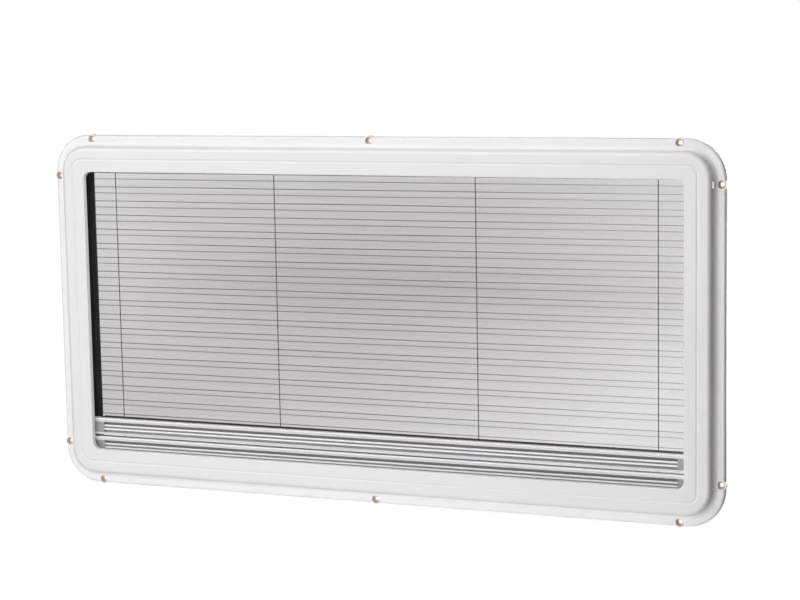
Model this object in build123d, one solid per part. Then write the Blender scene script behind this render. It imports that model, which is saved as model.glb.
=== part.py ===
"""Inner frame unit of a caravan window: moulded frame, pleated insect screen and parked blackout blind.

X runs to the right, Y into the wall and Z up, in millimetres. The origin is on the flange's back face, at the
middle of its lower run. Offsets are measured outwards from the edge of the window opening, and depths are
measured from the frame's front face into the wall.
"""
import os

from build123d import *

# Window opening
OPENING_WIDTH = 830.0
OPENING_HEIGHT = 380.0
OPENING_CORNER = 10.0

# Moulded frame, as offsets from the opening's edge
RIM_OFFSET = 49.0
RAISE_OFFSET = 34.0
GROOVE_OFFSET = 16.8
GROOVE_CORNER = 13.0
GROOVE_WIDTH = 4.0
RAISE_WALL = 3.0
LIP_WALL = 2.5

# Moulded frame, as depths behind its front face
GROOVE_DEPTH = 0.7
SKIN = 4.0
LIP_DEPTH = 6.7
FLANGE_FRONT = 12.0
FRAME_DEPTH = 18.0
RAISE_ROUND = 5.8
RAISE_FILLET = 5.8
RIM_ROUND = 3.5
LIP_ROUND = 1.2

# Screw bosses in the flange, and the nibs beside the upper side screws
SCREW_OFFSET = 43.8
SCREW_CORNER_INSET = 8.0
SCREW_SIDE_INSET = 6.0
SCREW_RADIUS = 2.6
HEAD_RADIUS = 5.2
HEAD_DEPTH = 4.8
BOSS_RADIUS = 6.6
NIB_LENGTH = 8.0
NIB_REACH = 2.4
NIB_FRONT = 4.2
NIB_DEPTH = 3.0

# Trays and rails behind the frame
PROFILE_WALL = 1.5
FIT_GAP = 0.3
TRAY_DEPTH = 46.0
SIDE_TRAY_EDGE = 10.0
RAIL_FLANGE_FRONT = 20.0
RAIL_REACH = 4.8
RAIL_WEB_OFFSET = 13.5

# Pull bars
BAR_HEIGHT = 22.8
BAR_GAP = 2.75
BAR_STACK = 41.85
BAR_FRONT = 8.0
BAR_THICKNESS = 11.0
BAR_OVERLAP = 8.0
BAR_SHIFT = 1.8
BAR_WALL = 1.2
BAR_ROUND = 1.6
BAND_TOP = 4.9
BAND_BOTTOM = 3.5
RECESS_DEPTH = 4.0
RIDGE_HEIGHT = 2.6
RIDGE_RISE = 3.0
RIDGE_DROP = 8.9
RIDGE_PITCH = 4.75
RIDGE_ROUND = 1.0
RIDGE_COUNT = 2
CAP_INSIDE = 11.5
CAP_PLATE = 1.0
CAP_FACE_STEP = 0.8

# Pleated cloths and the strips that hold them
STRIP_HEIGHT = 2.5
STRIP_LEDGE = 2.4
SCREEN_FRONT = 23.6
SCREEN_BACK_GAP = 3.5
PLEAT_PITCH = 19.55
CLOTH_THICKNESS = 0.5
CLOTH_OVERLAP = 7.0
HEM_RISE = 0.6
HEM_DROP = 4.0
HEM_FRONT = 14.4
HEM_BACK = 25.1
HEM_INSET = 6.0

# Tension cords
CORD_RADIUS = 0.6
CORD_DEPTH = 22.2
CORD_EDGE_INSET = 37.0
CORD_SPACING = 237.4
CORD_HOLE_RADIUS = 1.2

# Half width of the band in which the frame's edge loops are picked
EDGE_BAND = 0.5

# Values worked out from the driving dimensions
HALF_WIDTH = OPENING_WIDTH / 2
HALF_HEIGHT = OPENING_HEIGHT / 2
CAVITY_OFFSET = RAISE_OFFSET - RAISE_WALL
PROFILE_OFFSET = CAVITY_OFFSET - FIT_GAP
FLANGE_MIDDLE = (RIM_OFFSET + CAVITY_OFFSET) / 2
CENTRE_Z = HALF_HEIGHT + FLANGE_MIDDLE
BAR_HALF_LENGTH = HALF_WIDTH + BAR_OVERLAP
BAR_BACK = BAR_FRONT + BAR_THICKNESS
SCREEN_BAR_TOP = BAR_STACK - HALF_HEIGHT
BLIND_BAR_TOP = SCREEN_BAR_TOP - BAR_HEIGHT - BAR_GAP
BLIND_BAR_FOOT = BLIND_BAR_TOP - BAR_HEIGHT
STRIP_OFFSET = PROFILE_OFFSET - PROFILE_WALL
SCREEN_TOP = HALF_HEIGHT + STRIP_OFFSET - STRIP_HEIGHT
SCREEN_BACK = TRAY_DEPTH - PROFILE_WALL - SCREEN_BACK_GAP
CLOTH_HALF_WIDTH = HALF_WIDTH + CLOTH_OVERLAP
CORD_OUTER_X = HALF_WIDTH - CORD_EDGE_INSET
CORD_INNER_X = CORD_OUTER_X - CORD_SPACING
CORD_PLACES = (-CORD_OUTER_X, -CORD_INNER_X, CORD_INNER_X, CORD_OUTER_X)
SCREW_CORNER_X = HALF_WIDTH - SCREW_CORNER_INSET
SCREW_SIDE_Z = HALF_HEIGHT - SCREW_SIDE_INSET


def at_depth(depth):
    """Y of a depth behind the frame's front face."""
    return depth - FRAME_DEPTH


def grown_opening(offset, corner):
    """Rounded rectangle that stands outside the opening by an offset."""
    return RectangleRounded(OPENING_WIDTH + 2 * offset, OPENING_HEIGHT + 2 * offset, corner)


def slab(outline, near, far):
    """Outline drawn across the window, made solid between two depths."""
    return Pos(0, at_depth(near), 0) * extrude(Plane.XZ * outline, amount=near - far)


def block(xs, depths, zs):
    """Box between two places across, two depths and two heights, each pair in either order."""
    middle = (sum(xs) / 2, at_depth(sum(depths) / 2), sum(zs) / 2)
    sizes = [abs(pair[1] - pair[0]) for pair in (xs, depths, zs)]
    return Pos(*middle) * Box(*sizes)


def peg(x, z, radius, near, far):
    """Round peg along Y between two depths."""
    return Pos(x, at_depth((near + far) / 2), z) * Rot(90, 0, 0) * Cylinder(radius, far - near)


def upright(x, depth, radius, low_z, high_z):
    """Round rod along Z between two heights."""
    return Pos(x, at_depth(depth), (low_z + high_z) / 2) * Cylinder(radius, high_z - low_z)


def edges_at(solid, depth):
    """Edges that lie wholly at one depth."""
    return solid.edges().filter_by_position(Axis.Y, at_depth(depth) - 0.01, at_depth(depth) + 0.01)


def loop_edges(solid, depth, offset, corner):
    """Edges at one depth that follow the opening's outline grown by an offset."""
    outer = grown_opening(offset + EDGE_BAND, corner + EDGE_BAND)
    inner = grown_opening(offset - EDGE_BAND, corner - EDGE_BAND)
    band = slab(outer - inner, depth - EDGE_BAND, depth + EDGE_BAND)
    return [edge for edge in edges_at(solid, depth) if band.is_inside(edge @ 0.5)]


def screw_places():
    """Places of the ten screws."""
    top = HALF_HEIGHT + SCREW_OFFSET
    side = HALF_WIDTH + SCREW_OFFSET
    places = [(x, z) for x in (-SCREW_CORNER_X, 0.0, SCREW_CORNER_X) for z in (-top, top)]
    return places + [(x, z) for x in (-side, side) for z in (-SCREW_SIDE_Z, SCREW_SIDE_Z)]


def cover_nib(side):
    """Small nib on the raised wall, beside the upper screw at the right, side 1, or the left, side -1."""
    across = [side * (HALF_WIDTH + offset) for offset in (CAVITY_OFFSET, RAISE_OFFSET + NIB_REACH)]
    upward = (SCREW_SIDE_Z - NIB_LENGTH / 2, SCREW_SIDE_Z + NIB_LENGTH / 2)
    return block(across, (NIB_FRONT, NIB_FRONT + NIB_DEPTH), upward)


def front_groove():
    """Round rod that cuts the shallow groove in the frame's front face."""
    radius = (GROOVE_WIDTH ** 2 / 4 + GROOVE_DEPTH ** 2) / (2 * GROOVE_DEPTH)
    outline = Plane.XZ * grown_opening(GROOVE_OFFSET, GROOVE_CORNER)
    path = (Pos(0, at_depth(GROOVE_DEPTH - radius), 0) * outline).wire()
    return sweep(Plane(path @ 0, z_dir=path % 0) * Circle(radius), path=path)


def front_frame():
    """White moulding: flange with screw bosses, raised ring with a groove round its front, and the lip."""
    flange = slab(grown_opening(RIM_OFFSET, RIM_OFFSET), FLANGE_FRONT, FRAME_DEPTH)
    flange = fillet(edges_at(flange, FLANGE_FRONT), RIM_ROUND)
    raised = slab(grown_opening(RAISE_OFFSET, RAISE_OFFSET), 0, FRAME_DEPTH)
    raised = fillet(edges_at(raised, 0), RAISE_ROUND)
    frame = flange + raised
    frame = fillet(loop_edges(frame, FLANGE_FRONT, RAISE_OFFSET, RAISE_OFFSET), RAISE_FILLET)
    frame -= front_groove()
    frame -= slab(grown_opening(0, OPENING_CORNER), 0, FRAME_DEPTH)
    frame = fillet(loop_edges(frame, 0, 0, OPENING_CORNER), LIP_ROUND)
    frame -= slab(grown_opening(CAVITY_OFFSET, CAVITY_OFFSET), LIP_DEPTH, FRAME_DEPTH)
    hollow = slab(grown_opening(CAVITY_OFFSET, CAVITY_OFFSET), SKIN, LIP_DEPTH)
    frame -= hollow - slab(grown_opening(LIP_WALL, OPENING_CORNER + LIP_WALL), SKIN, LIP_DEPTH)
    for x, z in screw_places():
        frame += peg(x, z, BOSS_RADIUS, FLANGE_FRONT, FRAME_DEPTH)
    for x, z in screw_places():
        frame -= peg(x, z, HEAD_RADIUS, FLANGE_FRONT, FLANGE_FRONT + HEAD_DEPTH)
        frame -= peg(x, z, SCREW_RADIUS, FLANGE_FRONT, FRAME_DEPTH)
    return frame + cover_nib(-1) + cover_nib(1)


def tray(side):
    """Angle profile that closes the head, side 1, or the sill, side -1, from outside and behind."""
    width = (-HALF_WIDTH, HALF_WIDTH)
    edge_z = side * HALF_HEIGHT
    wall_z = side * (HALF_HEIGHT + STRIP_OFFSET)
    far_z = side * (HALF_HEIGHT + PROFILE_OFFSET)
    wall = block(width, (SKIN, TRAY_DEPTH), (wall_z, far_z))
    return wall + block(width, (TRAY_DEPTH - PROFILE_WALL, TRAY_DEPTH), (edge_z, far_z))


def side_plate(side, low_offset, high_offset, near, far):
    """Upright plate beside the opening, at the right, side 1, or the left, side -1."""
    across = (side * (HALF_WIDTH + low_offset), side * (HALF_WIDTH + high_offset))
    return block(across, (near, far), (-HALF_HEIGHT, HALF_HEIGHT))


def side_tray(side):
    """Angle profile that closes one side from outside, with a foot behind for the guide rail."""
    wall = side_plate(side, STRIP_OFFSET, PROFILE_OFFSET, SKIN, TRAY_DEPTH)
    return wall + side_plate(side, SIDE_TRAY_EDGE, PROFILE_OFFSET, TRAY_DEPTH - PROFILE_WALL, TRAY_DEPTH)


def guide_rail(side):
    """Black rail that stands on a side tray: the bars run before its flange, the cloths behind it."""
    web_outside = RAIL_WEB_OFFSET + PROFILE_WALL
    web = side_plate(side, RAIL_WEB_OFFSET, web_outside, RAIL_FLANGE_FRONT, TRAY_DEPTH - PROFILE_WALL)
    flange_back = RAIL_FLANGE_FRONT + PROFILE_WALL
    return web + side_plate(side, -RAIL_REACH, web_outside, RAIL_FLANGE_FRONT, flange_back)


def corner_connector(side_x, side_z):
    """Quarter-round shell that joins two trays behind one corner of the frame."""
    edge_x = side_x * HALF_WIDTH
    edge_z = side_z * HALF_HEIGHT
    across = (edge_x, side_x * (HALF_WIDTH + PROFILE_OFFSET))
    upward = (edge_z, side_z * (HALF_HEIGHT + PROFILE_OFFSET))
    hollow = peg(edge_x, edge_z, STRIP_OFFSET, SKIN, TRAY_DEPTH - PROFILE_WALL)
    shell = peg(edge_x, edge_z, PROFILE_OFFSET, SKIN, TRAY_DEPTH) - hollow
    return shell & block(across, (SKIN, TRAY_DEPTH), upward)


def cord_holes(low_z, high_z):
    """Clearance holes for the tension cords between two heights."""
    return [upright(x, CORD_DEPTH, CORD_HOLE_RADIUS, low_z, high_z) for x in CORD_PLACES]


def pull_bar(top):
    """Hollow extrusion, a little right of the middle, with a recess along its face and two ridges in it."""
    foot = top - BAR_HEIGHT
    length = (CAP_PLATE - BAR_HALF_LENGTH, BAR_HALF_LENGTH - CAP_PLATE)
    recess_back = BAR_FRONT + RECESS_DEPTH
    bar = block(length, (BAR_FRONT, BAR_BACK), (foot, top))
    bar = fillet(edges_at(bar, BAR_FRONT).filter_by(Axis.X), BAR_ROUND)
    bar -= block(length, (BAR_FRONT, recess_back), (foot + BAND_BOTTOM, top - BAND_TOP))
    bar -= block(length, (recess_back + BAR_WALL, BAR_BACK - BAR_WALL), (foot + BAR_WALL, top - BAR_WALL))
    ridge_length = (CAP_INSIDE - HALF_WIDTH, HALF_WIDTH - CAP_INSIDE)
    ridge_front = recess_back - RIDGE_RISE
    for row in range(RIDGE_COUNT):
        ridge_top = top - RIDGE_DROP - row * RIDGE_PITCH
        ridge = block(ridge_length, (ridge_front, recess_back), (ridge_top - RIDGE_HEIGHT, ridge_top))
        bar += fillet(edges_at(ridge, ridge_front).filter_by(Axis.X), RIDGE_ROUND)
    return Pos(BAR_SHIFT, 0, 0) * bar


def bar_cap(top, side):
    """Plastic end cap: a plate over the end of a pull bar, with a tongue that fills the recess."""
    foot = top - BAR_HEIGHT
    plate_x = side * (BAR_HALF_LENGTH - CAP_PLATE)
    cap = block((plate_x, side * BAR_HALF_LENGTH), (BAR_FRONT, BAR_BACK), (foot, top))
    tongue = (BAR_FRONT + CAP_FACE_STEP, BAR_FRONT + RECESS_DEPTH)
    inside_x = side * (HALF_WIDTH - CAP_INSIDE)
    cap += block((plate_x, inside_x), tongue, (foot + BAND_BOTTOM, top - BAND_TOP))
    return Pos(BAR_SHIFT, 0, 0) * cap


def hem_strip(edge_z, side):
    """Black angle strip that holds a cloth's edge, over a bar's top, side 1, or under its foot, side -1."""
    length = (HEM_INSET - HALF_WIDTH, HALF_WIDTH - HEM_INSET)
    rim_z = edge_z + side * HEM_RISE
    tongue = (BAR_BACK, BAR_BACK + PROFILE_WALL)
    strip = block(length, (HEM_FRONT, HEM_BACK), (edge_z, rim_z))
    strip += block(length, tongue, (edge_z - side * HEM_DROP, rim_z))
    for hole in cord_holes(*sorted((edge_z, rim_z))):
        strip -= hole
    return strip


def fixed_strip(side):
    """Strip on a tray's wall that holds a cloth's fixed edge, at the head, side 1, or the sill, side -1."""
    upward = (side * SCREEN_TOP, side * (HALF_HEIGHT + STRIP_OFFSET))
    return block((-HALF_WIDTH, HALF_WIDTH), (CORD_DEPTH - STRIP_LEDGE, SCREEN_BACK), upward)


def pleated_screen(low_z, high_z):
    """Zigzag sheet that hangs from the head strip, back fold first, to the front of its hem strip."""
    height = high_z - low_z
    slants = 2 * round(height / PLEAT_PITCH - 0.5) + 1
    half_cloth = CLOTH_THICKNESS / 2
    middle = (SCREEN_FRONT + SCREEN_BACK) / 2
    swing = (SCREEN_BACK - SCREEN_FRONT) / 2 - CLOTH_THICKNESS
    outline = []
    for shift in (-half_cloth, half_cloth):
        run = []
        for fold in range(slants + 1):
            depth = middle + (swing if fold % 2 == 0 else -swing)
            run.append((at_depth(depth + shift), high_z - height * fold / slants))
        outline += run if shift < 0 else run[::-1]
    section = make_face(Plane.YZ * Polyline(*outline, close=True))
    return extrude(section, amount=CLOTH_HALF_WIDTH, both=True)


def cloth_pack(low_z, high_z):
    """Blackout cloth folded flat between its base strip and the parked bar's strip."""
    return block((-CLOTH_HALF_WIDTH, CLOTH_HALF_WIDTH), (SCREEN_FRONT, SCREEN_BACK), (low_z, high_z))


def all_pieces():
    """Every piece of the unit by its plain name, about the middle of the opening."""
    base_top = -SCREEN_TOP
    pieces = {
        "front_frame": front_frame(),
        "head_tray": tray(1),
        "sill_tray": tray(-1),
        "screen_head_strip": fixed_strip(1),
        "pleated_screen": pleated_screen(SCREEN_BAR_TOP + HEM_RISE, SCREEN_TOP),
        "screen_bar": pull_bar(SCREEN_BAR_TOP),
        "screen_hem_strip": hem_strip(SCREEN_BAR_TOP, 1),
        "blind_bar": pull_bar(BLIND_BAR_TOP),
        "blind_hem_strip": hem_strip(BLIND_BAR_FOOT, -1),
        "blackout_cloth_pack": cloth_pack(base_top, BLIND_BAR_FOOT - HEM_RISE),
        "blind_base_strip": fixed_strip(-1),
    }
    for name, side in (("left", -1), ("right", 1)):
        pieces[f"{name}_side_tray"] = side_tray(side)
        pieces[f"{name}_guide_rail"] = guide_rail(side)
        pieces[f"screen_bar_{name}_cap"] = bar_cap(SCREEN_BAR_TOP, side)
        pieces[f"blind_bar_{name}_cap"] = bar_cap(BLIND_BAR_TOP, side)
        pieces[f"upper_{name}_corner"] = corner_connector(side, 1)
        pieces[f"lower_{name}_corner"] = corner_connector(side, -1)
    for number, x in enumerate(CORD_PLACES, 1):
        pieces[f"tension_cord_{number}"] = upright(x, CORD_DEPTH, CORD_RADIUS, base_top, SCREEN_TOP)
    return pieces


os.makedirs("parts", exist_ok=True)
for piece_name, piece in all_pieces().items():
    export_step(Pos(0, 0, CENTRE_Z) * piece, f"parts/{piece_name}.step")
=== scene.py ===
"""A caravan window's inside frame, with its pleated insect screen and parked blind, dressed for looks."""

import logging
import math
from abc import ABC, abstractmethod
from collections.abc import Mapping
from dataclasses import dataclass
from enum import Enum
from typing import Any

import bmesh
import bpy
import numpy as np
from mathutils import Matrix, Vector


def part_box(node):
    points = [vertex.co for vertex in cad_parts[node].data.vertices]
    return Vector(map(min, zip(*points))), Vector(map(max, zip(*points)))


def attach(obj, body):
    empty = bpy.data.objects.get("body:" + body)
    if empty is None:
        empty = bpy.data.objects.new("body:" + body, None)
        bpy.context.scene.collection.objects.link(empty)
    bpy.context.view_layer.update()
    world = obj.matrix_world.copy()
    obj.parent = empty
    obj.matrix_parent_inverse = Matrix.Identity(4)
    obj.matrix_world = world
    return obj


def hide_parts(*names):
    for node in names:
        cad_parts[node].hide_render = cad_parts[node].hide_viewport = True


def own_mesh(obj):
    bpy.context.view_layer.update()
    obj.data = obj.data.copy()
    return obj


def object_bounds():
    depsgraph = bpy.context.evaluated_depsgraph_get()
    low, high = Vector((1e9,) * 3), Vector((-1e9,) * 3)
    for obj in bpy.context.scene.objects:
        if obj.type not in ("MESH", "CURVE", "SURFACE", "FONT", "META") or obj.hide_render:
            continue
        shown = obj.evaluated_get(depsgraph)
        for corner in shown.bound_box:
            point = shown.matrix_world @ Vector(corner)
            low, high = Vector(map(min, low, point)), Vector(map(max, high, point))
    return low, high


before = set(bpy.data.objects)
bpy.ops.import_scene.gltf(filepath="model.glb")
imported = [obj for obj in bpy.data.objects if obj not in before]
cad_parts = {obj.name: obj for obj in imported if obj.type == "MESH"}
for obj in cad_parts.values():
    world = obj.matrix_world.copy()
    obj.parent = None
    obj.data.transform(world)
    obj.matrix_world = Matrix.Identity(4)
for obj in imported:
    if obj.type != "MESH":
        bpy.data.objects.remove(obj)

CAD_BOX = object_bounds()
LOG = logging.getLogger("caravan_window")

Colour = tuple[float, float, float]
Paint = Colour | bpy.types.NodeSocket
Point = tuple[float, float, float]
Pair = tuple[float, float]

TURN = 2.0 * math.pi
GOLDEN = 0.618034           # share of a turn between one fold's phase and the next
USUAL: Pair = (0.3, 0.7)    # the range that most noise lies in


class Body(Enum):
    """The rigid body that new pieces ride on."""

    FRAME = "window_frame"


class Slot(Enum):
    """The record's names for the finishes of new pieces."""

    NET = "screen_net"
    CORD = "cord_dark"
    BLACKOUT = "blackout_cloth"


class Value:
    """A number socket of a shader; Python's operators on it add Math nodes."""

    def __init__(self, graph: "Graph", socket: bpy.types.NodeSocket) -> None:
        """Keeps the graph and the socket that gives the number."""
        self.graph = graph
        self.socket = socket

    def math(self, operation: str, *terms: "Value | float") -> "Value":
        """Adds one Math node with the terms as its inputs in order, and gives its result."""
        node = self.graph.node("ShaderNodeMath", {"operation": operation}, dict(enumerate(terms)))
        return Value(self.graph, node.outputs[0])

    def __add__(self, other: "Value | float") -> "Value":
        """Sum."""
        return self.math("ADD", self, other)

    __radd__ = __add__

    def __sub__(self, other: "Value | float") -> "Value":
        """Difference."""
        return self.math("SUBTRACT", self, other)

    def __rsub__(self, other: float) -> "Value":
        """Difference from a number."""
        return self.math("SUBTRACT", other, self)

    def __mul__(self, other: "Value | float") -> "Value":
        """Product."""
        return self.math("MULTIPLY", self, other)

    __rmul__ = __mul__

    def __abs__(self) -> "Value":
        """Size without sign."""
        return self.math("ABSOLUTE", self)

    def fold_back(self, length: float) -> "Value":
        """The value going up to length and back to nought, again and again."""
        return self.math("PINGPONG", self, length)

    def sine(self) -> "Value":
        """Sine of the value in radians."""
        return self.math("SINE", self)

    def larger(self, other: "Value | float") -> "Value":
        """The larger of two."""
        return self.math("MAXIMUM", self, other)

    def smaller(self, other: "Value | float") -> "Value":
        """The smaller of two."""
        return self.math("MINIMUM", self, other)

    def ramp(self, start: float, end: float, low: float = 0.0, high: float = 1.0) -> "Value":
        """Maps the value smoothly from one range to another and holds it there.

        Args:
            start: the value that gives low.
            end: the value that gives high.
            low: the result at start.
            high: the result at end.

        Returns:
            The mapped value.
        """
        node = self.graph.node(
            "ShaderNodeMapRange",
            {"interpolation_type": "SMOOTHSTEP"},
            {"Value": self, "From Min": start, "From Max": end, "To Min": low, "To Max": high},
        )
        return Value(self.graph, node.outputs["Result"])


class Graph:
    """The node tree of a material or a world while it is being made."""

    def __init__(self, owner: bpy.types.ID) -> None:
        """Starts with the owner's tree, emptied."""
        self.owner = owner
        owner.use_nodes = True
        self.tree = owner.node_tree
        self.tree.nodes.clear()

    @classmethod
    def named(cls, name: str) -> "Graph":
        """The tree of a new material of that name."""
        return cls(bpy.data.materials.new(name))

    def node(
        self, kind: str, settings: Mapping[str, Any] | None = None, inputs: Mapping[Any, Any] | None = None
    ) -> bpy.types.Node:
        """Adds any node.

        Args:
            kind: the node's type.
            settings: its own settings, which are set first.
            inputs: values or links by socket name or number.

        Returns:
            The node.
        """
        made = self.tree.nodes.new(kind)
        for key, setting in (settings or {}).items():
            setattr(made, key, setting)
        for key, given in (inputs or {}).items():
            if isinstance(given, Value):
                given = given.socket
            if isinstance(given, bpy.types.NodeSocket):
                self.tree.links.new(given, made.inputs[key])
            else:
                made.inputs[key].default_value = given
        return made

    def place(self, scale: Point) -> bpy.types.NodeSocket:
        """Object coordinates, stretched to that many pattern units in a metre along each axis."""
        where = self.node("ShaderNodeTexCoord").outputs["Object"]
        return self.node("ShaderNodeMapping", {}, {"Vector": where, "Scale": scale}).outputs[0]

    def spot(self) -> tuple[Value, Value, Value]:
        """The place on the piece, in metres, as three numbers."""
        split = self.node("ShaderNodeSeparateXYZ", {}, {0: self.place((1.0, 1.0, 1.0))})
        return tuple(Value(self, split.outputs[axis]) for axis in range(3))

    def rise(self) -> Value:
        """How far the surface faces up, from -1 to 1."""
        faces = self.node("ShaderNodeTexCoord").outputs["Normal"]
        return Value(self, self.node("ShaderNodeSeparateXYZ", {}, {0: faces}).outputs[2])

    def noise(self, scale: Point, detail: float = 2.0, rough: float = 0.5) -> Value:
        """Cloudy noise on Object coordinates, from 0 to 1 about 0.5.

        Args:
            scale: clouds in a metre along each axis.
            detail: how many finer layers it has.
            rough: how strong the finer layers are.

        Returns:
            The noise.
        """
        made = self.node(
            "ShaderNodeTexNoise",
            {},
            {"Vector": self.place(scale), "Scale": 1.0, "Detail": detail, "Roughness": rough},
        )
        return Value(self, made.outputs["Fac"])

    def across(self, layer: str) -> tuple[Value, Value]:
        """The two numbers of the piece's own surface map.

        Args:
            layer: the map's name.

        Returns:
            The map's first and second number.
        """
        where = self.node("ShaderNodeUVMap", {"uv_map": layer}).outputs[0]
        split = self.node("ShaderNodeSeparateXYZ", {}, {0: where})
        return Value(self, split.outputs[0]), Value(self, split.outputs[1])

    def blend(self, share: Value, low: Paint, high: Paint) -> bpy.types.NodeSocket:
        """Mixes two colours, or sockets that give them: low where the share is 0 and high where it is 1."""
        colours = {key: (*c, 1.0) if isinstance(c, tuple) else c for key, c in ((6, low), (7, high))}
        return self.node("ShaderNodeMix", {"data_type": "RGBA"}, {0: share, **colours}).outputs[2]

    def bump(self, height: Value, depth: float) -> bpy.types.NodeSocket:
        """A normal from a height of 0 to 1 in a relief of that depth, in metres."""
        made = self.node("ShaderNodeBump", {}, {"Strength": 1.0, "Distance": depth, "Height": height})
        return made.outputs[0]

    def moulded(self, gloss: Pair, grain: float, depth: float) -> tuple[Value, dict[str, Any]]:
        """What all moulded plastic has: flow clouds, an uneven gloss and a fine eroded grain.

        Args:
            gloss: lowest and highest roughness.
            grain: size of one grain, in metres.
            depth: depth of the grain, in metres.

        Returns:
            The clouds from 0 to 1, and the shader's inputs for gloss and relief.
        """
        clouds = self.noise((14.0, 14.0, 14.0), 3.0)
        handled = self.noise((60.0, 60.0, 60.0), 3.0)
        fine = 1.0 / grain
        relief = self.bump(self.noise((fine, fine, fine), 1.0), depth)
        uneven = (clouds * 0.5 + handled * 0.5).ramp(*USUAL, *gloss)
        return clouds.ramp(*USUAL), {"Roughness": uneven, "Normal": relief}

    def finish(self, inputs: Mapping[str, Any]) -> bpy.types.Material:
        """Adds the surface shader.

        Args:
            inputs: its values and links by socket name.

        Returns:
            The finished material.
        """
        shader = self.node("ShaderNodeBsdfPrincipled", {}, inputs)
        self.node("ShaderNodeOutputMaterial", {}, {"Surface": shader.outputs[0]})
        return self.owner


class Finish(ABC):
    """Something a surface is made of."""

    @abstractmethod
    def material(self) -> bpy.types.Material:
        """The finish as a Blender material."""


@dataclass(frozen=True)
class MouldedPlastic(Finish):
    """Moulded plastic: fine eroded grain, faint flow clouds, uneven gloss.

    Args:
        name: the material's name.
        colour: the plastic's colour.
        cloud: its colour where the flow clouds are.
        gloss: lowest and highest roughness.
        grain: size of one grain, in metres.
        depth: depth of the grain, in metres.
    """

    name: str
    colour: Colour
    cloud: Colour
    gloss: Pair
    grain: float
    depth: float

    def material(self) -> bpy.types.Material:
        """Clouds mix the two colours, finer clouds set the gloss, and grain gives the relief.

        Returns:
            The plastic.
        """
        graph = Graph.named(self.name)
        clouds, inputs = graph.moulded(self.gloss, self.grain, self.depth)
        return graph.finish({"Base Color": graph.blend(clouds, self.colour, self.cloud), **inputs})


@dataclass(frozen=True)
class FrameWhite(Finish):
    """Moulded white with light and shade painted into its colour: a paler flange and lower run as painted
    light, paler up-facing edges as painted highlights, and dimmer down-facing edges and darker screw holes
    as painted shade.

    Args:
        name: the material's name.
        thick: its colour on the raised ring.
        thin: its colour on the flange, paler than the ring: painted light standing for light coming through
            the flange.
        lit: its colour on the flange's lower run, paler still: painted light from the floor.
        painted_hole_shade: its colour inside the screw holes, a brownish painted shade.
        screws: screw holes of one quarter, as distances across and up from the middle, in metres.
        middle: height of the frame's middle, in metres.
        cloud: share of the colour that flow clouds take away.
        painted_highlight_share: how far edges that face up a little take the flange's colour, as a painted
            highlight.
        dimmed: share of the colour that edges facing down lose, as painted shade.
        gloss: lowest and highest roughness.
        raised: how far before the wall the ring's colour ends, in metres.
        flange: how far before the wall the flange's colour begins, in metres.
        foot: height where the lower run's painted light begins and is full, in metres.
        hole: radius of a screw hole, in metres.
        beyond: how far outside that radius the painted shade begins and is full, in metres.
        mouth: depths where the painted shade in a hole begins and is full, in metres.
        upward: how far a face looks up where the painted highlight begins and is full.
        level: how far it looks up where it is too level for the painted highlight, and where that is full
            again.
        downward: how far it looks up, below nought, where its painted shade begins and is darkest.
        grain: size of one grain, in metres.
        depth: depth of the grain, in metres.
    """

    name: str
    thick: Colour
    thin: Colour
    lit: Colour
    painted_hole_shade: Colour
    screws: tuple[Pair, ...]
    middle: float
    cloud: float = 0.015
    # painted highlight on edges that face up a little
    painted_highlight_share: float = 1.0
    # painted shade on edges that face down
    dimmed: float = 0.06
    gloss: Pair = (0.33, 0.37)
    raised: float = 0.011
    flange: float = 0.007
    foot: Pair = (0.012, 0.004)
    hole: float = 0.0052
    beyond: Pair = (0.0003, 0.0001)
    mouth: Pair = (-0.0058, -0.0048)
    upward: Pair = (0.02, 0.15)
    level: Pair = (0.7, 0.3)
    downward: Pair = (-0.02, -0.15)
    grain: float = 0.0009
    depth: float = 0.00002

    def in_holes(self, graph: Graph) -> Value:
        """Tells the walls of the screw holes, where shade is painted, by their distance from each hole's
        axis and their depth.

        Args:
            graph: the material being made.

        Returns:
            1 inside the holes and 0 elsewhere.
        """
        x, y, z = graph.spot()
        across, up = abs(x), abs(z - self.middle)
        clean, grimy = ((self.hole + gap) ** 2 for gap in self.beyond)
        shares = []
        for place_x, place_z in self.screws:
            aside, above = across - place_x, up - place_z
            shares.append((aside * aside + above * above).ramp(clean, grimy))
        return sum(shares) * y.ramp(*self.mouth)

    def material(self) -> bpy.types.Material:
        """Depth mixes the two whites, painting light on the flange and its lower run; edges and screw holes
        get painted highlights and painted shade, clouds dull the white and set the gloss, and grain gives
        the relief.

        Returns:
            The white.
        """
        graph = Graph.named(self.name)
        _, y, z = graph.spot()
        deep = y.ramp(-self.raised, -self.flange)
        clouds, inputs = graph.moulded(self.gloss, self.grain, self.depth)
        rise = graph.rise()
        # painted highlight on edges that face up a little
        painted_edge_highlight = rise.ramp(*self.upward) * rise.ramp(*self.level) * self.painted_highlight_share
        # the flange's paler white is painted light
        white = graph.blend(deep.larger(painted_edge_highlight), self.thick, self.thin)
        # painted light from the floor on the flange's lower run
        white = graph.blend(deep * z.ramp(*self.foot), white, self.lit)
        # brownish painted shade inside the screw holes
        white = graph.blend(self.in_holes(graph), white, self.painted_hole_shade)
        # flow clouds dull the white at random; edges facing down get painted shade
        loss = clouds * self.cloud + rise.ramp(*self.downward) * self.dimmed
        return graph.finish({"Base Color": graph.blend(loss, white, (0.0, 0.0, 0.0)), **inputs})


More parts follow.
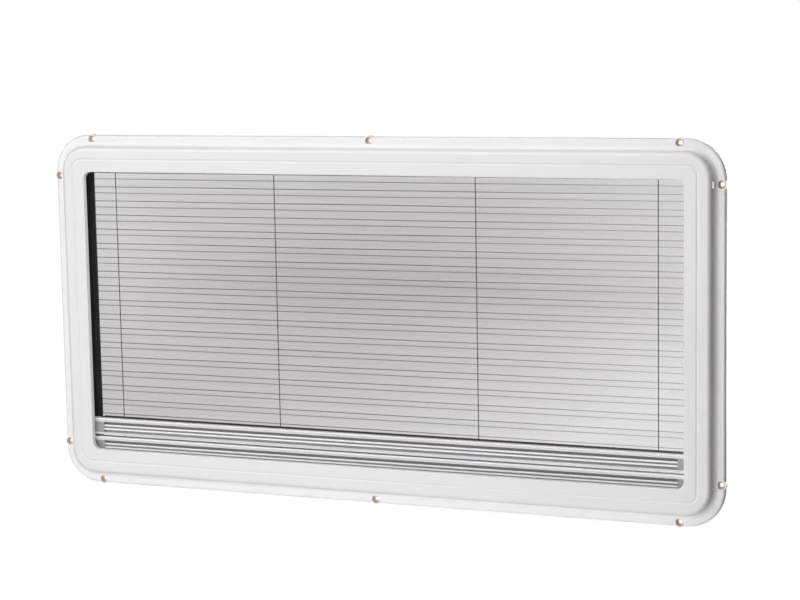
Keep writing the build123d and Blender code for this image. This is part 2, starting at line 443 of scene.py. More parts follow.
@dataclass(frozen=True)
class DrawnProfile(Finish):
    """An extruded profile with a coated face: die lines along it and an uneven satin.

    Args:
        name: the material's name.
        colour: the coat's colour.
        line: its colour in the die lines.
        gloss: lowest and highest roughness.
        depth: depth of the die lines, in metres.
        along: the die lines' direction, as pattern units in a metre.
    """

    name: str
    colour: Colour
    line: Colour
    gloss: Pair
    depth: float
    along: Point = (3.0, 900.0, 900.0)

    def material(self) -> bpy.types.Material:
        """Stretched noise draws the die lines, and clouds change the satin.

        Returns:
            The coated metal.
        """
        graph = Graph.named(self.name)
        lines = graph.noise(self.along, 3.0, 0.65)
        satin = graph.noise((25.0, 25.0, 25.0), 2.0)
        return graph.finish(
            {
                "Base Color": graph.blend(lines.ramp(0.35, 0.7), self.line, self.colour),
                "Roughness": (lines * 0.6 + satin * 0.4).ramp(*USUAL, *self.gloss),
                "Normal": graph.bump(lines, self.depth),
            }
        )


@dataclass(frozen=True)
class SatinBar(Finish):
    """Anodised aluminium bar: satin faces with faint die lines; painted shade darkens the slots of its
    recess, its lower edge and, where set, its upper side, and a painted highlight lights its upper edge and
    ridges.

    Args:
        name: the material's name.
        recess: the recess's lowest and highest place, in metres.
        slots: where the painted shade in the slots begins behind the bar's face and is full, in metres.
        foot: where the painted shade on the lower edge begins and is darkest, in metres.
        crest: where the painted highlight on the upper edge begins and is strongest, in metres.
        shaded: how dark the painted shade on the upper side behind that edge is; at nought that side takes
            the edge's painted highlight.
        metal: the metal's colour.
        line: its colour in the die lines.
        slot: its colour in the slots, which is painted shade.
        painted_highlight: colour of the painted highlight on the upper edge.
        edge: half the height over which the recess begins or ends, in metres.
        faint: how dark the painted shade in the two narrow slots is beside the wide one.
        wide: shares of the recess's height where the wide slot begins and is fully dark.
        dull: how far the lower edge takes the slots' colour, as painted shade.
        ridge: how far the front of the recess takes the upper edge's colour, as a painted highlight.
        metallic: how metallic the plain face is, and how metallic the slots and painted highlights are.
        gloss: lowest and highest roughness.
        rougher: how much rougher the slots are.
    """

    name: str
    recess: Pair
    slots: Pair
    foot: Pair
    crest: Pair
    shaded: float
    metal: Colour = (0.73, 0.73, 0.755)
    line: Colour = (0.69, 0.69, 0.715)
    # painted shade in the slots
    slot: Colour = (0.235, 0.238, 0.228)
    # painted highlight on the upper edge and the ridges
    painted_highlight: Colour = (0.98, 0.97, 0.955)
    edge: float = 0.0002
    faint: float = 0.72
    wide: Pair = (0.54, 0.72)
    dull: float = 0.06
    ridge: float = 0.75
    metallic: Pair = (0.30, 0.05)
    gloss: Pair = (0.34, 0.42)
    rougher: float = 0.3

    def material(self) -> bpy.types.Material:
        """The place behind the face and between the bands tells the slots, where shade is painted; the
        upper and lower edges take a painted highlight and painted shade, and noise draws lines.

        Returns:
            The bar's metal.
        """
        graph = Graph.named(self.name)
        _, deep, high = graph.spot()
        base, head = self.recess
        inside = high.ramp(base - self.edge, base + self.edge)
        inside = inside * high.ramp(head + self.edge, head - self.edge)
        above = high.ramp(*self.crest)
        behind = deep.ramp(*self.slots)
        begins, full = (base + (head - base) * share for share in self.wide)
        # painted shade in the slots, full in the wide one and fainter in the narrow ones
        cut = inside * high.ramp(begins, full, self.faint, 1.0)
        # painted shade on the upper side behind the edge, as in the gap between the bars
        dark = behind * cut.larger(above * self.shaded)
        # painted shade along the lower edge
        dull = high.ramp(*self.foot) * self.dull
        hidden = 1.0 if self.shaded else 0.0
        # painted highlight on the upper edge and the front of the ridges
        lit = ((1.0 - behind) * inside * self.ridge).larger((1.0 - behind * hidden) * above)
        lines = graph.noise((1.5, 700.0, 700.0), 3.0, 0.6)
        satin = graph.noise((9.0, 40.0, 40.0), 2.0)
        face = graph.blend(lit, graph.blend(lines.ramp(*USUAL), self.line, self.metal), self.painted_highlight)
        uneven = (lines * 0.5 + satin * 0.5).ramp(*USUAL, *self.gloss)
        return graph.finish(
            {
                "Base Color": graph.blend(dark.larger(dull), face, self.slot),
                "Metallic": dark.larger(lit).ramp(0.0, 1.0, *self.metallic),
                "Roughness": uneven + dark * self.rougher,
            }
        )


@dataclass(frozen=True)
class PleatedNet(Finish):
    """Fine net cloth with pressed folds, see-through between its threads; its threads are paler or darker
    by place, which is painted light and shade.

    Args:
        name: the material's name.
        layer: the surface map that counts metres across and slants down.
        slant: length of one slant, in metres.
        thread: the threads' colour.
        painted_lit_thread: the threads' colour where the cloth is paler, which is painted light.
        crease: the colour of a pressed fold.
        middle: height of the cloth's middle, in metres.
        half_width: half the cloth's width, in metres.
        bowl: how the cloth pales with the squares of the places across and up, and with their product.
        tilt: how it pales to the right and upwards.
        left: where the left side begins to lose paleness and loses most, in metres across.
        spare: how far from its own level that loss begins and is full, in metres.
        trough: where the dark trough begins and is full, in metres across.
        trough_half: half the trough's height, in metres.
        levels: where the left side loses nothing and where the trough lies, in metres above the middle.
        top: where the top begins to gain paleness and gains most, in metres above the middle.
        most: the most that the left side and the trough lose, and that the top gains.
        mottle: how much clouds and streaks change the paleness.
        pitch: distance between threads, in metres.
        cover: share of the cloth that its threads fill.
        thinned: how much of that the palest corner loses.
        palest: the paleness past which no more is lost.
        weave: how much the cover changes over one thread.
        streaked: how much streaks change the cover.
        crease_width: width of a pressed fold's line, in metres.
        crease_edge: shares of that width where the fold is full and where it ends.
        strength: how strong folds are at the middle of the cloth and at its right edge.
        back_fold: how strong a fold at the back is beside one at the front.
        worn_fold: how strong a fold is where a streak has worn it.
        gloss: roughness between threads and on them.
        relief: how far threads stand out, in metres.
    """

    name: str
    layer: str
    slant: float
    thread: Colour = (0.127, 0.072, 0.068)
    # thread colour where light is painted on the cloth
    painted_lit_thread: Colour = (0.257, 0.200, 0.213)
    crease: Colour = (0.036, 0.028, 0.026)
    middle: float = 0.23
    half_width: float = 0.44
    bowl: tuple[float, float, float] = (3.8, 12.4, -5.35)
    tilt: Pair = (0.56, -1.2)
    left: Pair = (-0.1, -0.4)
    spare: Pair = (0.05, 0.17)
    trough: Pair = (-0.35, -0.05)
    trough_half: float = 0.06
    levels: Pair = (0.025, 0.045)
    top: Pair = (0.11, 0.20)
    most: tuple[float, float, float] = (0.3, 0.2, 0.12)
    mottle: float = 0.4
    pitch: float = 0.0016
    cover: float = 0.48
    thinned: float = 0.20
    palest: float = 1.05
    weave: float = 0.10
    streaked: float = 0.12
    crease_width: float = 0.0026
    crease_edge: Pair = (0.22, 0.62)
    strength: Pair = (0.78, 0.50)
    back_fold: float = 0.80
    worn_fold: float = 0.88
    gloss: Pair = (0.86, 0.70)
    relief: float = 0.0002

    def paleness(self, graph: Graph) -> Value:
        """Painted light and shade on the cloth: a bowl, palest at the lower right, with a dark trough of
        painted shade across it.

        Args:
            graph: the material being made.

        Returns:
            0 where it is darkest to 1 where it is palest.
        """
        x, _, z = graph.spot()
        up = z - self.middle
        wide, tall, slanted = self.bowl
        right, upward = self.tilt
        bowl = x * x * wide + up * up * tall + x * up * slanted
        off_left, off_trough = (abs(up - level) for level in self.levels)
        left = x.ramp(*self.left) * off_left.ramp(*self.spare, 0.0, self.most[0])
        trough = off_trough.ramp(self.trough_half, 0.0) * x.ramp(*self.trough) * self.most[1]
        top = up.ramp(*self.top, 0.0, self.most[2])
        return bowl + x * right + up * upward + top - left - trough

    def material(self) -> bpy.types.Material:
        """Sines along both thread directions change the cover, and folds are darker and closed.

        Returns:
            The net.
        """
        graph = Graph.named(self.name)
        across, down = graph.across(self.layer)
        turn = TURN / self.pitch
        warp = (across * turn).sine()
        weft = (down * (turn * self.slant)).sine()
        threads = warp.larger(weft)
        streaks = graph.noise((6.0, 90.0, 420.0), 3.0, 0.6)
        clouds = graph.noise((5.0, 5.0, 9.0), 2.0)
        full, none = (self.crease_width * share for share in self.crease_edge)
        pressed = (down.fold_back(0.5) * self.slant).ramp(full, none, 1.0, 0.0)
        pressed = pressed * down.fold_back(1.0).ramp(0.0, 1.0, self.back_fold, 1.0)
        pressed = pressed * streaks.ramp(0.2, 0.55, self.worn_fold, 1.0)
        pressed = pressed * graph.spot()[0].ramp(0.0, self.half_width, *self.strength)
        # painted light and shade: threads paler where light is painted, darker where shade is
        pale = self.paleness(graph)
        cloth = graph.blend(pale + (clouds + streaks - 1.0) * self.mottle, self.thread, self.painted_lit_thread)
        cover = self.cover - pale.smaller(self.palest) * self.thinned
        cover = cover + threads * self.weave + (streaks - 0.5) * self.streaked
        return graph.finish(
            {
                "Base Color": graph.blend(pressed, cloth, self.crease),
                "Roughness": threads.ramp(-1.0, 1.0, *self.gloss),
                "Alpha": cover + pressed * (1.0 - cover),
                "Normal": graph.bump(threads.ramp(-1.0, 1.0), self.relief),
            }
        )


@dataclass(frozen=True)
class FoldedCloth(Finish):
    """Close blackout cloth: a plain weave with a dull face.

    Args:
        name: the material's name.
        colour: the cloth's colour.
        shade: its colour between threads.
        pitch: distance between threads, in metres.
        gloss: roughness between threads and on them.
        relief: how far threads stand out, in metres.
    """

    name: str
    colour: Colour
    shade: Colour
    pitch: float = 0.0008
    gloss: Pair = (0.95, 0.8)
    relief: float = 0.0002

    def material(self) -> bpy.types.Material:
        """Fine noise, stretched from front to back, stands for the weave.

        Returns:
            The cloth.
        """
        graph = Graph.named(self.name)
        fine = 1.0 / self.pitch
        weave = graph.noise((fine, fine * 0.2, fine), 2.0)
        return graph.finish(
            {
                "Base Color": graph.blend(weave.ramp(*USUAL), self.shade, self.colour),
                "Roughness": weave.ramp(0.2, 0.8, *self.gloss),
                "Normal": graph.bump(weave, self.relief),
            }
        )


@dataclass(frozen=True)
class TwistedCord(Finish):
    """A thin dark cord of twisted strands.

    Args:
        name: the material's name.
        colour: the strands' colour.
        worn: their colour where they are rubbed.
        rubbed: the noise at which rubbing begins and is full.
        gloss: roughness between fibres and on them.
        relief: how far fibres stand out, in metres.
    """

    name: str
    colour: Colour
    worn: Colour
    rubbed: Pair = (0.42, 0.62)
    gloss: Pair = (0.85, 0.6)
    relief: float = 0.0001

    def material(self) -> bpy.types.Material:
        """Fine fibres run along the cord, and rubbed stretches are paler.

        Returns:
            The cord.
        """
        graph = Graph.named(self.name)
        fibres = graph.noise((2600.0, 2600.0, 700.0), 2.0)
        patches = graph.noise((30.0, 30.0, 320.0), 2.0)
        rubbed = (fibres * 0.3 + patches * 0.7).ramp(*self.rubbed)
        return graph.finish(
            {
                "Base Color": graph.blend(rubbed, self.colour, self.worn),
                "Roughness": fibres.ramp(0.2, 0.8, *self.gloss),
                "Normal": graph.bump(fibres, self.relief),
            }
        )


def quads(rows: int, columns: int, round_shut: bool) -> np.ndarray:
    """Corner numbers of a grid's faces, each joining a point to its next row and next column.

    Args:
        rows: points along the first parameter.
        columns: points along the second parameter.
        round_shut: whether the last column joins the first.

    Returns:
        One row of four point numbers for each face.
    """
    index = np.arange(rows * columns).reshape(rows, columns)
    if round_shut:
        index = np.concatenate([index, index[:, :1]], axis=1)
    corners = [index[:-1, :-1], index[1:, :-1], index[1:, 1:], index[:-1, 1:]]
    return np.stack(corners, axis=-1).reshape(-1, 4)


def grid_piece(
    name: str, points: np.ndarray, layer: str, numbers: np.ndarray, round_shut: bool = False
) -> bpy.types.Object:
    """Makes a mesh object from a grid of points.

    Args:
        name: the object's name.
        points: rows by columns by three, in metres.
        layer: the surface map's name.
        numbers: rows by columns by two, the surface map.
        round_shut: whether the columns close into a tube.

    Returns:
        The linked object, at the origin.
    """
    rows, columns = points.shape[:2]
    faces = quads(rows, columns, round_shut)
    mesh = bpy.data.meshes.new(name)
    mesh.vertices.add(rows * columns)
    mesh.vertices.foreach_set("co", points.astype(np.float32).ravel())
    mesh.loops.add(faces.size)
    mesh.loops.foreach_set("vertex_index", faces.astype(np.int32).ravel())
    mesh.polygons.add(len(faces))
    mesh.polygons.foreach_set("loop_start", np.arange(0, faces.size, 4, dtype=np.int32))
    mesh.polygons.foreach_set("use_smooth", np.ones(len(faces), dtype=bool))
    uv = mesh.uv_layers.new(name=layer)
    uv.data.foreach_set("uv", numbers.reshape(-1, 2)[faces.ravel()].astype(np.float32).ravel())
    mesh.update(calc_edges=True)
    made = bpy.data.objects.new(name, mesh)
    bpy.context.scene.collection.objects.link(made)
    return made


def close_ends(piece: bpy.types.Object) -> None:
    """Merges the points that meet at a tube's two poles.

    Args:
        piece: the tube.
    """
    work = bmesh.new()
    work.from_mesh(piece.data)
    bmesh.ops.remove_doubles(work, verts=work.verts, dist=1e-7)
    bmesh.ops.recalc_face_normals(work, faces=work.faces)
    work.to_mesh(piece.data)
    work.free()


MADE: dict[Finish, bpy.types.Material] = {}


def shared(finish: Finish) -> bpy.types.Material:
    """One material for each finish, made at its first use.

    Args:
        finish: what the surface is made of.

    Returns:
        Its material.
    """
    if finish not in MADE:
        MADE[finish] = finish.material()
    return MADE[finish]


def dress(piece: bpy.types.Object, finish: Finish, slot: Slot) -> None:
    """Gives a new piece its finish.

    Args:
        piece: the object.
        finish: what it is made of.
        slot: the record's name for that finish.
    """
    piece.data.materials.append(shared(finish))
    LOG.info("%s: %d faces, %s", piece.name, len(piece.data.polygons), slot.value)


def dress_nodes(finish: Finish, *nodes: str) -> None:
    """Gives carried-over CAD nodes their finish.

    Args:
        finish: what they are made of.
        nodes: their names.
    """
    material = shared(finish)
    for node in nodes:
        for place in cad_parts[node].material_slots:
            place.material = material
        LOG.info("%s: CAD solid, %s", node, material.name)


def from_fold(slants: np.ndarray, rounding: float) -> np.ndarray:
    """Depth of pleated cloth as a share, 1 at even folds and 0 at odd ones.

    The share falls and rises straight between folds, and near each fold, within rounding of it, a parabola
    that meets the straight part takes its place.

    Args:
        slants: how many slants lie above each point.
        rounding: share of a slant that a fold's round takes.

    Returns:
        The share for each point.
    """
    reach = np.abs(np.mod(slants, 2.0) - 1.0)
    near = np.minimum(reach, 1.0 - reach)
    eased = np.where(near < rounding, near**2 / (2.0 * rounding) + rounding / 2.0, near)
    return np.where(reach < 0.5, eased, 1.0 - eased)


@dataclass
class Cassette:
    """The frame and the profiles behind it that the bars run in.

    Args:
        white: the moulded front frame.
        tray: the coated trays all round.
        rail: the guide rails on the side trays.
        corner: the corner connectors.
    """

    white: FrameWhite = FrameWhite(
        "moulded white",
        thick=(0.84, 0.830, 0.834),
        # the paler flange and its paler lower run are painted light
        thin=(0.915, 0.912, 0.912),
        lit=(0.985, 0.98, 0.98),
        # brownish painted shade inside the screw holes
        painted_hole_shade=(0.80, 0.71, 0.64),
        screws=((0.407, 0.2338), (0.0, 0.2338), (0.4588, 0.184)),
        middle=0.23,
    )
    tray: DrawnProfile = DrawnProfile(
        "coated tray", colour=(0.74, 0.74, 0.74), line=(0.70, 0.70, 0.71), gloss=(0.35, 0.5), depth=0.00003
    )
    rail: DrawnProfile = DrawnProfile(
        "black rail",
        colour=(0.017, 0.017, 0.018),
        line=(0.036, 0.036, 0.038),
        gloss=(0.32, 0.5),
        depth=0.00004,
        along=(900.0, 900.0, 3.0),
    )
    corner: MouldedPlastic = MouldedPlastic(
        "corner grey",
        colour=(0.42, 0.43, 0.44),
        cloud=(0.36, 0.37, 0.38),
        gloss=(0.45, 0.6),
        grain=0.0008,
        depth=0.00003,
    )

    def dress(self) -> None:
        """Gives every solid of the cassette its finish."""
        dress_nodes(self.white, "front_frame")
        dress_nodes(self.tray, "head_tray", "sill_tray", "left_side_tray", "right_side_tray")
        dress_nodes(self.rail, "left_guide_rail", "right_guide_rail")
        corners = [f"{level}_{side}_corner" for level in ("upper", "lower") for side in ("left", "right")]
        dress_nodes(self.corner, *corners)


@dataclass
class PleatedScreen:
    """The insect screen: pleated net from the head strip to the bar that pulls it.

    Args:
        slants: straight runs of cloth between folds.
        before: run of cloth above the first back fold, as a share of a slant.
        hem: height of the straight piece below the last fold, in metres.
        rounding: share of a slant that a fold's round takes.
        across: points across the cloth.
        cloth: half the cloth's thickness with its fold's round, in metres.
        lift: how far the cloth's middle rides up, in metres.
        lift_right: how much more it rides up at the right edge, in metres.
        ripple: how far a fold wanders, in metres.
        ripple_length: length of a fold's wander, in metres.
        layer: the surface map's name.
    """

    slants: int = 37
    before: float = 0.07
    hem: float = 0.0033
    rounding: float = 0.05
    across: int = 141
    cloth: float = 0.0004
    lift: float = 0.0037
    lift_right: float = 0.0018
    ripple: float = 0.0003
    ripple_length: float = 0.31
    layer: str = "pleats"

    def grid(self) -> tuple[np.ndarray, np.ndarray]:
        """Works out the cloth.

        Down the cloth the depth goes straight from the back fold to the front fold and back again, with a
        small round at each fold, and the height falls evenly; below the last fold the cloth hangs straight
        into its hem. The height also rises by a parabola that is nought at both ends, more at the right,
        and each fold wanders by a small sine of its own phase.

        Returns:
            The points, and the map of metres across and slants down.
        """
        low, high = (np.array(corner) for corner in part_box("pleated_screen"))
        steps = np.array([0.0, 0.025, 0.05, 0.3, 0.5, 0.7, 0.95, 0.975])
        down = (np.arange(self.slants)[:, None] + steps).ravel()
        tail = np.array([0.0, 0.1, 0.4])
        down = np.concatenate([[-self.before], down, self.slants + tail])
        x = np.linspace(low[0], high[0], self.across)
        down, x = np.meshgrid(down, x, indexing="ij")
        past = np.maximum(down - self.slants, 0.0) / tail[-1]
        share = (np.minimum(down, self.slants) + self.before) / (self.slants + self.before)
        front, back = low[1] + self.cloth, high[1] - self.cloth
        y = front + (back - front) * from_fold(np.minimum(down, self.slants), self.rounding)
        arch = 4.0 * share * (1.0 - share)
        lift = self.lift + self.lift_right * x / high[0]
        phase = TURN * (np.round(down) * GOLDEN + x / self.ripple_length)
        fall = (high[2] - low[2] - self.hem) * share + self.hem * past
        z = high[2] - fall + arch * lift + self.ripple * arch * np.sin(phase)
        return np.stack([x, y, z], axis=-1), np.stack([x, down], axis=-1)

    def slant_length(self) -> float:
        """Length of cloth from one fold to the next.

        Returns:
            The length in metres.
        """
        low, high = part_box("pleated_screen")
        fall = (high.z - low.z - self.hem) / (self.slants + self.before)
        return math.hypot(high.y - low.y - 2.0 * self.cloth, fall)

    def build(self) -> None:
        """Makes the net and hangs it on the frame."""
        points, numbers = self.grid()
        net = grid_piece("screen_net", points, self.layer, numbers)
        slant = self.slant_length()
        dress(net, PleatedNet("pleated net", self.layer, slant), Slot.NET)
        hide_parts("pleated_screen")
        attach(net, Body.FRAME.value)
        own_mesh(net)


@dataclass
class TensionCords:
    """The four taut cords that keep the pleats in line, held in the head and the sill.

    Args:
        strands: strands in a cord.
        twist: length of one twist, in metres.
        groove: how deep the grooves between strands are, as a share of the radius.
        around: points round a cord.
        per_twist: points along one twist.
        lean: how far each cord's top and foot lie right of its CAD cord, in metres.
        layer: the surface map's name.
        finish: what the cords are made of.
    """

    strands: int = 3
    twist: float = 0.0042
    groove: float = 0.2
    around: int = 18
    per_twist: int = 9
    lean: tuple[Pair, ...] = (
        (-0.00055, 0.0006),
        (-0.00055, 0.0005),
        (-0.00055, 0.0),
        (-0.00055, -0.00045),
    )
    layer: str = "twist"
    finish: TwistedCord = TwistedCord(
        "twisted cord", colour=(0.015, 0.015, 0.015), worn=(0.15, 0.148, 0.145)
    )

    def grid(self, node: str, top: float, foot: float) -> tuple[np.ndarray, np.ndarray]:
        """Works out one cord.

        The radius round the cord is the full one at each strand's crown and dips in a sharp groove between
        strands, as the size of a cosine does, and the pattern turns evenly along the cord. The first and
        last rings have no radius, which closes the ends. The axis runs straight from foot to top.

        Args:
            node: the CAD cord that it stands for.
            top: how far its top lies to the right, in metres.
            foot: how far its foot lies to the right, in metres.

        Returns:
            The points, and the map of turns round and metres along.
        """
        low, high = (np.array(corner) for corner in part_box(node))
        rings = int(round((high[2] - low[2]) / self.twist * self.per_twist))
        z = np.linspace(low[2], high[2], rings + 1)
        z = np.concatenate([z[:1], z, z[-1:]])
        angle = np.linspace(0.0, TURN, self.around, endpoint=False)
        along, turn = np.meshgrid(z, angle, indexing="ij")
        lobe = np.abs(np.cos(self.strands / 2.0 * (turn - TURN * along / self.twist)))
        radius = (high[0] - low[0]) / 2.0 * (1.0 - self.groove + self.groove * lobe)
        radius[[0, -1]] = 0.0
        middle = (low + high) / 2.0
        aside = np.interp(along, [low[2], high[2]], [foot, top])
        x = middle[0] + aside + radius * np.cos(turn)
        y = middle[1] + radius * np.sin(turn)
        return np.stack([x, y, along], axis=-1), np.stack([turn / TURN, along], axis=-1)

    def build(self) -> None:
        """Makes the four cords."""
        for number, (top, foot) in enumerate(self.lean, 1):
            node = f"tension_cord_{number}"
            points, numbers = self.grid(node, top, foot)
            cord = grid_piece(f"twisted_cord_{number}", points, self.layer, numbers, round_shut=True)
            close_ends(cord)
            dress(cord, self.finish, Slot.CORD)
            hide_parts(node)
            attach(cord, Body.FRAME.value)


@dataclass
class PullBars:
    """Both aluminium bars with their end caps, and the strips that the cloths are held in.

    Args:
        cap: the end caps.
        strip: the cloths' strips.
        bands: heights of a bar's lower and upper band, in metres.
        slots: how far behind the face the painted shade in its slots begins and is full, in metres.
        foot: height of the painted shade along a bar's lower edge, in metres.
        crest: height of the painted highlight along a bar's upper edge, in metres.
        shaded: how dark the painted shade on each bar's upper side is, the lower bar's being in the gap
            between them.
    """

    cap: MouldedPlastic = MouldedPlastic(
        "cap grey",
        colour=(0.377, 0.381, 0.364),
        cloud=(0.325, 0.330, 0.313),
        gloss=(0.42, 0.58),
        grain=0.0007,
        depth=0.00003,
    )
    strip: DrawnProfile = DrawnProfile(
        "black strip",
        colour=(0.045, 0.044, 0.043),
        line=(0.065, 0.064, 0.062),
        gloss=(0.55, 0.7),
        depth=0.00003,
    )
    bands: Pair = (0.0035, 0.0049)
    slots: Pair = (0.0020, 0.0032)
    foot: float = 0.0012
    crest: float = 0.0022
    # painted shade on the blind bar's upper side, in the gap under the screen bar
    shaded: tuple[tuple[str, float], ...] = (("screen_bar", 0.0), ("blind_bar", 0.36))

    def metal(self, node: str, shaded: float) -> SatinBar:
        """The finish of one bar.

        Args:
            node: the bar.
            shaded: how dark the painted shade on its upper side is.

        Returns:
            Satin metal with painted shade between that bar's bands.
        """
        low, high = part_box(node)
        recess = (low.z + self.bands[0], high.z - self.bands[1])
        slots = tuple(low.y + depth for depth in self.slots)
        foot = (low.z + self.foot, low.z)
        crest = (high.z - self.crest, high.z - self.crest / 2.0)
        return SatinBar(f"satin {node}", recess, slots, foot, crest, shaded)

    def dress(self) -> None:
        """Gives every solid of the bars its finish."""
        for node, shaded in self.shaded:
            dress_nodes(self.metal(node, shaded), node)
        caps = [f"{bar}_bar_{side}_cap" for bar in ("screen", "blind") for side in ("left", "right")]
        dress_nodes(self.cap, *caps)
        strips = ("screen_head_strip", "screen_hem_strip", "blind_hem_strip", "blind_base_strip")
        dress_nodes(self.strip, *strips)


@dataclass
class BlackoutPack:
    """The blind's cloth, folded away in the sill below its bar.

    Args:
        slants: runs of cloth between folds.
        rounding: share of a slant that a fold's round takes.
        across: points across the cloth.
        edge: how far the folds stay inside the CAD solid, in metres.
        sways: how often a fold sways in a metre.
        layer: the surface map's name.
        finish: the blackout cloth.
    """

    slants: int = 37
    rounding: float = 0.04
    across: int = 61
    edge: float = 0.0003
    sways: float = 3.0
    layer: str = "folds"
    finish: FoldedCloth = FoldedCloth(
        "blackout cloth", colour=(0.40, 0.40, 0.39), shade=(0.30, 0.30, 0.295)
    )

    def grid(self) -> tuple[np.ndarray, np.ndarray]:
        """Works out the folded cloth.

        The depth goes straight from back to front and back again with a small round at each fold, as the
        height falls evenly, and each fold stands in or out by a small sine along the cloth.

        Returns:
            The points, and the map of metres across and slants down.
        """
        low, high = (np.array(corner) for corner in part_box("blackout_cloth_pack"))
        steps = np.array([0.0, 0.04, 0.5, 0.96])
        down = np.append((np.arange(self.slants)[:, None] + steps).ravel(), float(self.slants))
        down, x = np.meshgrid(down, np.linspace(low[0], high[0], self.across), indexing="ij")
        sway = self.edge * np.sin(TURN * (np.round(down) * GOLDEN + self.sways * x))
        front, back = low[1] + 2.0 * self.edge, high[1] - 2.0 * self.edge
        y = front + (back - front) * from_fold(down, self.rounding) + sway
        z = high[2] + (low[2] - high[2]) * down / self.slants
        return np.stack([x, y, z], axis=-1), np.stack([x, down], axis=-1)

    def build(self) -> None:
        """Makes the folded cloth."""
        low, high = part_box("blackout_cloth_pack")
        points, numbers = self.grid()
        cloth = grid_piece("blackout_folds", points, self.layer, numbers)
        dress(cloth, self.finish, Slot.BLACKOUT)
        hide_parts("blackout_cloth_pack")
        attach(cloth, Body.FRAME.value)
        slant = math.hypot(high.y - low.y - 4.0 * self.edge, (high.z - low.z) / self.slants)


@dataclass
class Studio:
    """A white studio: pale floor, white surround, and a little light from the right.

    Args:
        white: the surround's brightness.
        speck: its colour where the white is a little darker.
        ambient: light from the room's right side.
        tint: that light's colour.
        floor_drop: how far the floor lies below the window, in metres.
        floor_half: half the floor's side, in metres.
        radius: radius of the surround, in metres.
    """

    white: float = 1.02
    speck: Colour = (0.985, 0.985, 0.985)
    ambient: float = 0.19
    tint: Colour = (1.0, 0.92, 0.90)
    floor_drop: float = 0.5
    floor_half: float = 6.0
    radius: float = 20.0

    def glow(self, name: str) -> bpy.types.Material:
        """A plain white paper that glows evenly.

        Args:
            name: the material's name.

        Returns:
            The material.
        """
        graph = Graph.named(name)
        colour = graph.blend(graph.noise((0.5, 0.5, 0.5), 1.0), (1.0, 1.0, 1.0), self.speck)
        shader = graph.node("ShaderNodeEmission", {}, {"Color": colour, "Strength": self.white})
        graph.node("ShaderNodeOutputMaterial", {}, {"Surface": shader.outputs[0]})
        return graph.owner

    def seen_only(self, piece: bpy.types.Object) -> None:
        """Lets the camera see a stage piece without its light or shade on the window.

        Args:
            piece: the floor or the surround.
        """
        piece.visible_diffuse = False
        piece.visible_glossy = False
        piece.visible_transmission = False
        piece.visible_shadow = False

    def sky(self) -> None:
        """Lights the window a little from the right, less and less away from there."""
        graph = Graph(bpy.data.worlds.new("studio"))
        where = graph.node("ShaderNodeTexCoord").outputs["Generated"]
        side = graph.node("ShaderNodeSeparateXYZ", {}, {0: where}).outputs["X"]
        fade = graph.node("ShaderNodeMapRange", {}, {"Value": side, "To Max": self.ambient}).outputs[0]
        light = graph.node("ShaderNodeBackground", {}, {"Color": (*self.tint, 1.0), "Strength": fade})
        graph.node("ShaderNodeOutputWorld", {}, {"Surface": light.outputs[0]})
        bpy.context.scene.world = graph.owner

    def build(self) -> None:
        """Makes the floor, the surround and the light from the right.

        The floor is a flat square, and the surround a sphere by its angles down from the top and round.
        """
        side = np.linspace(-self.floor_half, self.floor_half, 3)
        x, y = np.meshgrid(side, side, indexing="ij")
        flat = np.stack([x, y, np.full_like(x, CAD_BOX[0].z - self.floor_drop)], axis=-1)
        floor = grid_piece("pale_floor", flat, "floor", flat[..., :2])
        floor.data.materials.append(self.glow("pale floor"))
        self.seen_only(floor)
        up, turn = np.meshgrid(np.linspace(0.0, math.pi, 25), np.linspace(0.0, TURN, 49), indexing="ij")
        ball = np.stack([np.sin(up) * np.cos(turn), np.sin(up) * np.sin(turn), np.cos(up)], axis=-1)
        numbers = np.stack([up, turn], axis=-1)
        surround = grid_piece("white_surround", self.radius * ball, "surround", numbers)
        surround.data.materials.append(self.glow("white surround"))
        self.seen_only(surround)
        self.sky()
        bpy.context.scene.view_settings.view_transform = "Standard"


@dataclass
class SoftLight:
    """A square soft box.

    Args:
        name: the light's name.
        place: where it hangs, in metres.
        aim: the point that it faces.
        side: length of its side, in metres.
        power: its power in watts.
    """

    name: str
    place: Point
    aim: Point
    side: float
    power: float

    def build(self) -> None:
        """Hangs the light."""
        data = bpy.data.lights.new(self.name, "AREA")
        data.size = self.side
        data.energy = self.power
        lamp = bpy.data.objects.new(self.name, data)
        lamp.location = self.place
        lamp.rotation_mode = "QUATERNION"
        lamp.rotation_quaternion = (Vector(self.aim) - Vector(self.place)).to_track_quat("-Z", "Y")
        bpy.context.scene.collection.objects.link(lamp)
        LOG.info("%s: %.0f W", self.name, self.power)


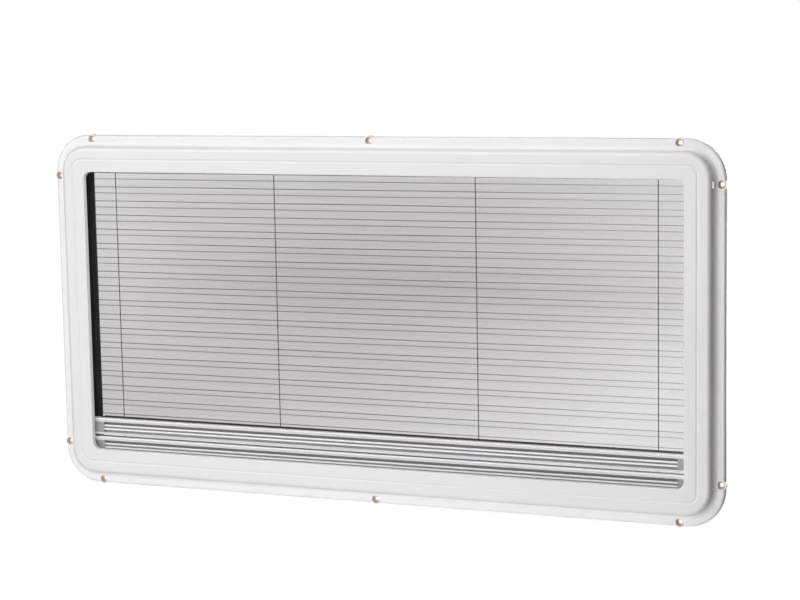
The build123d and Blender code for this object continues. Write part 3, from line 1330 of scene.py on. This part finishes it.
@dataclass
class PhotoCamera:
    """The camera, where the photograph was taken from.

    Args:
        place: its place, in metres.
        yaw: turn to the right of straight on, in degrees.
        pitch: height above level, in degrees.
        roll: turn about its own axis, in degrees.
        lens: focal length, in millimetres.
        sensor: width of the picture behind the lens, in millimetres.
        clip: nearest and farthest thing it sees, in metres.
    """

    place: Point = (1.0666, -2.4903, 0.6183)
    yaw: float = 22.47
    pitch: float = 7.59
    roll: float = -1.00
    lens: float = 95.175
    sensor: float = 36.0
    clip: Pair = (0.1, 100.0)

    def build(self) -> None:
        """Sets up the camera."""
        yaw, pitch, roll = (math.radians(a) for a in (self.yaw, self.pitch, self.roll))
        back = Vector((math.sin(yaw) * math.cos(pitch), -math.cos(yaw) * math.cos(pitch), math.sin(pitch)))
        level = Vector((math.cos(yaw), math.sin(yaw), 0.0))
        upright = level.cross(-back)
        right = math.cos(roll) * level + math.sin(roll) * upright
        up = -math.sin(roll) * level + math.cos(roll) * upright
        data = bpy.data.cameras.new("photo_camera")
        data.lens = self.lens
        data.sensor_width = self.sensor
        data.clip_start, data.clip_end = self.clip
        camera = bpy.data.objects.new("photo_camera", data)
        turned = Matrix((right, up, back)).transposed().to_4x4()
        camera.matrix_world = Matrix.Translation(Vector(self.place)) @ turned
        bpy.context.scene.collection.objects.link(camera)
        bpy.context.scene.camera = camera


def main() -> None:
    """Builds the window, the studio and the camera in order."""
    logging.basicConfig(level=logging.INFO, format="%(name)s %(message)s")
    PhotoCamera().build()
    TensionCords().build()
    PleatedScreen().build()
    BlackoutPack().build()
    Cassette().dress()
    PullBars().dress()
    Studio().build()
    aim = (0.0, 0.0, 0.2)
    lights = (
        SoftLight("near front", (0.15, -1.4, 0.3), aim, 0.8, 5.2),
        SoftLight("near top", (0.1, -0.5, 1.5), aim, 1.0, 7.9),
        SoftLight("near floor", (0.1, -0.5, -1.0), aim, 1.0, 5.9),
        SoftLight("low front", (-0.4, -2.4, -1.6), aim, 2.0, 14.5),
        SoftLight("low left", (-1.4, -1.7, -1.6), aim, 1.4, 7.5),
        SoftLight("high left", (-1.8, -1.8, 1.8), aim, 1.8, 25.0),
        SoftLight("left", (-1.5, -1.9, 0.35), (-0.1, 0.0, 0.2), 1.4, 11.0),
        SoftLight("behind", (0.6, 1.8, 0.4), aim, 1.3, 24.0),
    )
    for light in lights:
        light.build()


if __name__ == "__main__":
    main()
